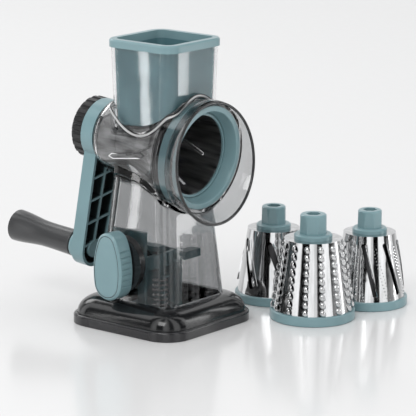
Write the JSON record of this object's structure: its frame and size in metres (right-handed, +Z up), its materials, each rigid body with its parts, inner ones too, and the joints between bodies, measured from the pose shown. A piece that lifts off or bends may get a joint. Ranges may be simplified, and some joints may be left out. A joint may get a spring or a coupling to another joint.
{
  "type": "rotary drum shredder",
  "caption": "Hand-cranked drum shredder on a clear suction stand, with a square feed chute, a lift-out pusher, a splash hood and loose cutting drums beside it.",
  "frame": {"origin": "centre of the stand's footprint, on the table", "axes": "+Z up, -Y out of the drum's mouth, +Y towards the crank, -X towards the suction lever"},
  "size_m": [0.3026, 0.3489, 0.2909],
  "materials": {
    "teal": "satin moulded plastic",
    "smoky_clear": "clear smoky plastic",
    "smoky_base": "dark glossy plastic",
    "black_base": "glossy black plastic",
    "charcoal": "fine matt plastic",
    "pad_rubber": "soft rubber",
    "drum_steel": "polished sheet steel",
    "screw_steel": "turned steel"
  },
  "bodies": {
    "stand": {"foot_rim": "black_base", "base_plate": "black_base", "base_screws": "screw_steel", "base_skirt": "smoky_base", "column_shell": "smoky_clear", "cabin_cradle": "smoky_clear", "shaft_bracket": "teal", "knob_bezel": "smoky_base", "suction_pad": "pad_rubber", "return_spring": "screw_steel"},
    "lever": {"suction_knob": "teal", "knob_cap": "teal", "knob_shaft": "charcoal", "knob_screw": "screw_steel"},
    "lifter": {"lift_yoke": "teal"},
    "cabin": {"cabin_shell": "smoky_clear", "hopper_shell": "smoky_clear", "saddle_flange": "smoky_clear", "side_rib": "smoky_clear", "collar_ring": "teal", "collar_seal": "pad_rubber", "rear_bush": "teal"},
    "guard": {"splash_guard": "smoky_clear"},
    "pusher": {"pusher_cup": "teal", "pusher_rim": "teal"},
    "crank": {"crank_arm": "teal", "drive_shaft": "screw_steel", "thrust_washer": "screw_steel", "grip_pin": "screw_steel"},
    "lock": {"lock_knob": "charcoal"},
    "grip": {"grip_sleeve": "charcoal", "grip_cap": "charcoal"},
    "fine_drum": {"fine_ring": "teal", "fine_cone": "drum_steel", "fine_hub": "teal"},
    "coarse_drum": {"coarse_ring": "teal", "coarse_cone": "drum_steel", "coarse_hub": "teal"},
    "slicing_drum": {"slicing_ring": "teal", "slicing_cone": "drum_steel", "slicing_hub": "teal"},
    "slotted_drum": {"slotted_ring": "teal", "slotted_cone": "drum_steel", "slotted_hub": "teal"}
  },
  "joints": [
    {"name": "lever_turn", "type": "hinge", "parent": "stand", "child": "lever", "pos_m": [-0.05, 0.012, 0.066], "axis": [-1, 0, 0], "range_deg": [0, 90]},
    {"name": "yoke_lift", "type": "slide", "parent": "stand", "child": "lifter", "axis": [0, 0, 1], "range_m": [0, 0.0031], "deforming": ["return_spring", "suction_pad"]},
    {"name": "cabin_lift", "type": "slide", "parent": "stand", "child": "cabin", "axis": [0, 0, 1], "range_m": [0, 0.06]},
    {"name": "guard_pull", "type": "slide", "parent": "cabin", "child": "guard", "axis": [0, -0.9962, -0.0872], "range_m": [0, 0.03]},
    {"name": "pusher_lift", "type": "slide", "parent": "cabin", "child": "pusher", "axis": [0, 0, 1], "range_m": [0, 0.09]},
    {"name": "crank_turn", "type": "hinge", "parent": "cabin", "child": "crank", "pos_m": [0, 0.06483, 0.18651], "axis": [0, 0.9962, 0.0872], "continuous": true},
    {"name": "lock_turn", "type": "hinge", "parent": "crank", "child": "lock", "pos_m": [0, 0.08276, 0.18808], "axis": [0, 0.9962, 0.0872], "range_deg": [0, 90]},
    {"name": "grip_spin", "type": "hinge", "parent": "crank", "child": "grip", "pos_m": [-0.01712, 0.08939, 0.06639], "axis": [0, 0.9962, 0.0872], "continuous": true},
    {"name": "drum_pull", "type": "slide", "parent": "crank", "child": "fine_drum", "axis": [0, -0.9962, -0.0872], "range_m": [0, 0.12]},
    {"name": "coarse_lift", "type": "slide", "parent": "stand", "child": "coarse_drum", "axis": [0, 0, 1], "range_m": [0, 0.12]},
    {"name": "slicing_lift", "type": "slide", "parent": "stand", "child": "slicing_drum", "axis": [0, 0, 1], "range_m": [0, 0.12]},
    {"name": "slotted_lift", "type": "slide", "parent": "stand", "child": "slotted_drum", "axis": [0, 0, 1], "range_m": [0, 0.12]}
  ],
  "couplings": [
    {"joint": "yoke_lift", "follows": "lever_turn", "m_per_rad": 0.0019099}
  ]
}
